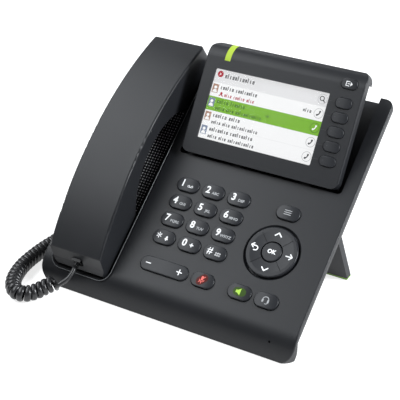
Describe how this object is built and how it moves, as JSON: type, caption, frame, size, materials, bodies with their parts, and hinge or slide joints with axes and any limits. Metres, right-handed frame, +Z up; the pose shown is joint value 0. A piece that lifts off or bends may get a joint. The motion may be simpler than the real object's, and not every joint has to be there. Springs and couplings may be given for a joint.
{
  "type": "desk ip phone",
  "caption": "Sloping desk phone with a corded handset on its left, a tilting colour display with soft keys, a dial pad, a navigation ring and a folding stand.",
  "frame": {"origin": "on the desk top, under the middle of the phone without its cord", "axes": "+X to the user's right, +Y away from the user, +Z up"},
  "size_m": [0.2423, 0.206, 0.1624],
  "materials": {
    "housing": "satin moulded plastic with a fine grain",
    "cradle": "satin moulded plastic",
    "grille": "matt black perforated plate",
    "speaker": "black moulded basket",
    "board": "green circuit board",
    "mat": "grey silicone",
    "steel": "plated steel",
    "foot_rubber": "black rubber",
    "strip_rubber": "yellow-green rubber",
    "socket": "black moulded plastic",
    "plug": "clear moulded plastic",
    "keys": "satin moulded plastic with pale legends",
    "light_guide": "frosted clear plastic",
    "display": "satin moulded plastic",
    "lcd": "lit liquid crystal panel",
    "window": "clear window",
    "light_bar": "yellow-green lamp lens",
    "stand": "matt moulded plastic",
    "handset": "satin moulded plastic with a fine grain",
    "cord": "black PVC sheath"
  },
  "bodies": {
    "base": {"top_cover": "housing", "bottom_case": "housing", "cradle_tray": "cradle", "speaker_grille": "grille", "loudspeaker": "speaker", "main_board": "board", "keypad_mat": "mat", "case_screws": "steel", "front_feet": "foot_rubber", "handset_jack": "socket", "headset_jack": "socket", "lan_jack": "socket", "pc_jack": "socket", "display_hinge_pins": "steel", "stand_pins": "steel", "curly_cord": "cord", "base_plug": "plug"},
    "handset": {"handset_back": "handset", "handset_face": "handset", "handset_socket": "socket", "handset_plug": "plug", "handset_screws": "steel", "handset_weight": "steel", "earpiece": "speaker", "microphone": "speaker"},
    "hook": {"hook_button": "cradle"},
    "display": {"display_bezel": "display", "display_back": "display", "lcd_panel": "lcd", "screen_window": "window", "display_board": "board", "light_bar": "light_bar"},
    "stand": {"stand_leg": "stand", "stand_strip": "strip_rubber"},
    "nav_tilt": {"nav_light_guide": "light_guide"},
    "nav": {"nav_ring": "keys"},
    "volume": {"volume_rocker": "keys"},
    "dial_1": {"dial_key_1": "keys"},
    "dial_2": {"dial_key_2": "keys"},
    "dial_3": {"dial_key_3": "keys"},
    "dial_4": {"dial_key_4": "keys"},
    "dial_5": {"dial_key_5": "keys"},
    "dial_6": {"dial_key_6": "keys"},
    "dial_7": {"dial_key_7": "keys"},
    "dial_8": {"dial_key_8": "keys"},
    "dial_9": {"dial_key_9": "keys"},
    "dial_star": {"dial_key_star": "keys"},
    "dial_0": {"dial_key_0": "keys"},
    "dial_hash": {"dial_key_hash": "keys"},
    "menu_key": {"menu_key": "keys"},
    "mute_key": {"mute_key": "keys"},
    "speaker_key": {"speaker_key": "keys"},
    "headset_key": {"headset_key": "keys"},
    "ok_key": {"ok_key": "keys"},
    "soft_key_1": {"soft_key_1": "keys"},
    "soft_key_2": {"soft_key_2": "keys"},
    "soft_key_3": {"soft_key_3": "keys"},
    "soft_key_4": {"soft_key_4": "keys"},
    "soft_key_5": {"soft_key_5": "keys"},
    "forward_key": {"forward_key": "keys"}
  },
  "joints": [
    {"name": "handset_lift", "type": "slide", "parent": "base", "child": "handset", "axis": [0, -0.6018, 0.7986], "range_m": [0, 0.06]},
    {"name": "hook_rise", "type": "slide", "parent": "base", "child": "hook", "axis": [0, -0.6018, 0.7986], "range_m": [0, 0.003]},
    {"name": "display_tilt", "type": "hinge", "parent": "base", "child": "display", "pos_m": [0.033, 0.01912, 0.09483], "axis": [1, 0, 0], "range_deg": [-20, 12]},
    {"name": "stand_fold", "type": "hinge", "parent": "base", "child": "stand", "pos_m": [0, 0.01171, 0.04898], "axis": [1, 0, 0], "range_deg": [-78, 0]},
    {"name": "volume_rock", "type": "hinge", "parent": "base", "child": "volume", "pos_m": [-0.00765, -0.06281, 0.0299], "axis": [0, 0.7986, 0.6018], "range_deg": [-2.5, 2.5], "stiffness_Nm_per_rad": 0.08},
    {"name": "nav_up_down", "type": "hinge", "parent": "base", "child": "nav_tilt", "pos_m": [0.0657, -0.03429, 0.05138], "axis": [1, 0, 0], "range_deg": [-2.5, 2.5], "stiffness_Nm_per_rad": 0.08},
    {"name": "nav_left_right", "type": "hinge", "parent": "nav_tilt", "child": "nav", "pos_m": [0.0657, -0.03429, 0.05138], "axis": [0, 0.7986, 0.6018], "range_deg": [-2.5, 2.5], "stiffness_Nm_per_rad": 0.08},
    {"name": "dial_1_press", "type": "slide", "parent": "base", "child": "dial_1", "axis": [0, 0.6018, -0.7986], "range_m": [0, 0.0012], "stiffness_N_per_m": 400},
    {"name": "dial_2_press", "type": "slide", "parent": "base", "child": "dial_2", "axis": [0, 0.6018, -0.7986], "range_m": [0, 0.0012], "stiffness_N_per_m": 400},
    {"name": "dial_3_press", "type": "slide", "parent": "base", "child": "dial_3", "axis": [0, 0.6018, -0.7986], "range_m": [0, 0.0012], "stiffness_N_per_m": 400},
    {"name": "dial_4_press", "type": "slide", "parent": "base", "child": "dial_4", "axis": [0, 0.6018, -0.7986], "range_m": [0, 0.0012], "stiffness_N_per_m": 400},
    {"name": "dial_5_press", "type": "slide", "parent": "base", "child": "dial_5", "axis": [0, 0.6018, -0.7986], "range_m": [0, 0.0012], "stiffness_N_per_m": 400},
    {"name": "dial_6_press", "type": "slide", "parent": "base", "child": "dial_6", "axis": [0, 0.6018, -0.7986], "range_m": [0, 0.0012], "stiffness_N_per_m": 400},
    {"name": "dial_7_press", "type": "slide", "parent": "base", "child": "dial_7", "axis": [0, 0.6018, -0.7986], "range_m": [0, 0.0012], "stiffness_N_per_m": 400},
    {"name": "dial_8_press", "type": "slide", "parent": "base", "child": "dial_8", "axis": [0, 0.6018, -0.7986], "range_m": [0, 0.0012], "stiffness_N_per_m": 400},
    {"name": "dial_9_press", "type": "slide", "parent": "base", "child": "dial_9", "axis": [0, 0.6018, -0.7986], "range_m": [0, 0.0012], "stiffness_N_per_m": 400},
    {"name": "dial_star_press", "type": "slide", "parent": "base", "child": "dial_star", "axis": [0, 0.6018, -0.7986], "range_m": [0, 0.0012], "stiffness_N_per_m": 400},
    {"name": "dial_0_press", "type": "slide", "parent": "base", "child": "dial_0", "axis": [0, 0.6018, -0.7986], "range_m": [0, 0.0012], "stiffness_N_per_m": 400},
    {"name": "dial_hash_press", "type": "slide", "parent": "base", "child": "dial_hash", "axis": [0, 0.6018, -0.7986], "range_m": [0, 0.0012], "stiffness_N_per_m": 400},
    {"name": "menu_key_press", "type": "slide", "parent": "base", "child": "menu_key", "axis": [0, 0.6018, -0.7986], "range_m": [0, 0.0012], "stiffness_N_per_m": 400},
    {"name": "mute_key_press", "type": "slide", "parent": "base", "child": "mute_key", "axis": [0, 0.6018, -0.7986], "range_m": [0, 0.0012], "stiffness_N_per_m": 400},
    {"name": "speaker_key_press", "type": "slide", "parent": "base", "child": "speaker_key", "axis": [0, 0.6018, -0.7986], "range_m": [0, 0.0012], "stiffness_N_per_m": 400},
    {"name": "headset_key_press", "type": "slide", "parent": "base", "child": "headset_key", "axis": [0, 0.6018, -0.7986], "range_m": [0, 0.0012], "stiffness_N_per_m": 400},
    {"name": "ok_key_press", "type": "slide", "parent": "base", "child": "ok_key", "axis": [0, 0.6018, -0.7986], "range_m": [0, 0.0012], "stiffness_N_per_m": 400},
    {"name": "soft_key_1_press", "type": "slide", "parent": "display", "child": "soft_key_1", "axis": [0, 0.8387, -0.5446], "range_m": [0, 0.0008], "stiffness_N_per_m": 400},
    {"name": "soft_key_2_press", "type": "slide", "parent": "display", "child": "soft_key_2", "axis": [0, 0.8387, -0.5446], "range_m": [0, 0.0008], "stiffness_N_per_m": 400},
    {"name": "soft_key_3_press", "type": "slide", "parent": "display", "child": "soft_key_3", "axis": [0, 0.8387, -0.5446], "range_m": [0, 0.0008], "stiffness_N_per_m": 400},
    {"name": "soft_key_4_press", "type": "slide", "parent": "display", "child": "soft_key_4", "axis": [0, 0.8387, -0.5446], "range_m": [0, 0.0008], "stiffness_N_per_m": 400},
    {"name": "soft_key_5_press", "type": "slide", "parent": "display", "child": "soft_key_5", "axis": [0, 0.8387, -0.5446], "range_m": [0, 0.0008], "stiffness_N_per_m": 400},
    {"name": "forward_key_press", "type": "slide", "parent": "display", "child": "forward_key", "axis": [0, 0.8387, -0.5446], "range_m": [0, 0.0008], "stiffness_N_per_m": 400}
  ],
  "couplings": [
    {"joint": "hook_rise", "follows": "handset_lift", "ratio": 0.05}
  ]
}
